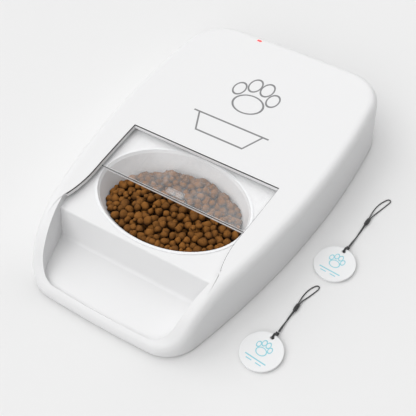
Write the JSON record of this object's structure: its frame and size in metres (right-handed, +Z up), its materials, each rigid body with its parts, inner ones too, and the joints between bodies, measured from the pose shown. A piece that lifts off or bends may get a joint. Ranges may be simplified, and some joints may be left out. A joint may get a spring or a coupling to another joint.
{
  "type": "microchip pet feeder",
  "caption": "Low white electronic pet feeder with an oval bowl of dry food under a clear sliding lid driven by a rack, a rear hood, a front tray and round collar tags on cord loops.",
  "frame": {"origin": "on the floor under the middle of the housing's length and width", "axes": "+Z up, -Y towards the eating pet, +X to the feeder's right as seen from behind the pet"},
  "size_m": [0.2532, 0.32, 0.0552],
  "materials": {
    "housing_white": "satin white ABS",
    "cover_white": "satin white ABS",
    "bowl_white": "smooth off-white",
    "lid_clear": "clear polycarbonate",
    "carriage_grey": "natural acetal",
    "plate_grey": "fine texture",
    "gear_white": "acetal",
    "steel": "bright",
    "brass": "machined",
    "chassis_black": "glass-filled",
    "rubber_grey": "soft",
    "board_green": "solder mask",
    "chip_black": "moulded",
    "copper": "enamelled copper",
    "cell_jacket": "printed sleeve",
    "contact_metal": "nickel plated",
    "button_grey": "fine texture",
    "lens_red": "clear red",
    "lamp": "diffused",
    "tag_white": "satin",
    "cord_black": "braided cord",
    "trim_black": "thin strip",
    "kibble_brown": "baked dry food"
  },
  "bodies": {
    "housing": {"base_shell": "housing_white", "top_cover": "cover_white", "base_plate": "plate_grey", "battery_box": "plate_grey", "battery_cells": "cell_jacket", "battery_contacts": "contact_metal", "rubber_feet": "rubber_grey", "housing_screws": "steel", "bowl": "bowl_white", "dry_food": "kibble_brown", "slot_trim": "trim_black", "gear_axle": "steel", "drive_motor": "contact_metal", "chassis": "chassis_black", "limit_switches": "chip_black", "circuit_board": "board_green", "board_components": "chip_black", "coil_former": "carriage_grey", "antenna_coil": "copper", "button_board": "board_green", "button_switches": "chip_black", "status_led": "lamp", "light_pipe": "lens_red", "guide_rail_left": "chassis_black", "guide_rail_right": "chassis_black"},
    "lid": {"lid": "lid_clear", "lid_carriage": "carriage_grey"},
    "drive_gear": {"drive_gear": "gear_white"},
    "motor_pinion": {"motor_pinion": "brass"},
    "battery_door": {"battery_door": "plate_grey"},
    "learn_button": {"learn_button": "button_grey"},
    "lid_button": {"lid_button": "button_grey"},
    "tag_1": {"tag_1_base": "tag_white", "tag_1_cover": "tag_white", "tag_1_inlay": "copper", "tag_1_hitch": "cord_black", "tag_1_tether": "cord_black", "tag_1_barrel": "cord_black", "tag_1_loop": "cord_black"},
    "tag_2": {"tag_2_base": "tag_white", "tag_2_cover": "tag_white", "tag_2_inlay": "copper", "tag_2_hitch": "cord_black", "tag_2_tether": "cord_black", "tag_2_barrel": "cord_black", "tag_2_loop": "cord_black"}
  },
  "joints": [
    {"name": "lid_slide", "type": "slide", "parent": "housing", "child": "lid", "axis": [0, 0.9995, 0.03], "range_m": [-0.048, 0.052]},
    {"name": "drive_gear_turn", "type": "hinge", "parent": "housing", "child": "drive_gear", "pos_m": [0.08482, 0.03998, 0.0452], "axis": [0, -0.03, 0.9995], "range_deg": [-470, 435]},
    {"name": "motor_pinion_turn", "type": "hinge", "parent": "housing", "child": "motor_pinion", "pos_m": [0.08482, 0.05607, 0.04568], "axis": [0, -0.03, 0.9995], "range_deg": [-1010, 1095]},
    {"name": "battery_door_slide", "type": "slide", "parent": "housing", "child": "battery_door", "axis": [0, 1, 0], "range_m": [0, 0.008]},
    {"name": "learn_button_press", "type": "slide", "parent": "housing", "child": "learn_button", "axis": [0, -1, 0], "range_m": [0, 0.001], "stiffness_N_per_m": 600, "springref_m": -0.0005},
    {"name": "lid_button_press", "type": "slide", "parent": "housing", "child": "lid_button", "axis": [0, -1, 0], "range_m": [0, 0.001], "stiffness_N_per_m": 600, "springref_m": -0.0005},
    {"name": "tag_1_lift", "type": "slide", "parent": "housing", "child": "tag_1", "axis": [0, 0, 1], "range_m": [0, 0.03]},
    {"name": "tag_2_lift", "type": "slide", "parent": "housing", "child": "tag_2", "axis": [0, 0, 1], "range_m": [0, 0.03]}
  ],
  "couplings": [
    {"joint": "drive_gear_turn", "follows": "lid_slide", "rad_per_m": -156.25},
    {"joint": "motor_pinion_turn", "follows": "lid_slide", "rad_per_m": 364.58}
  ]
}
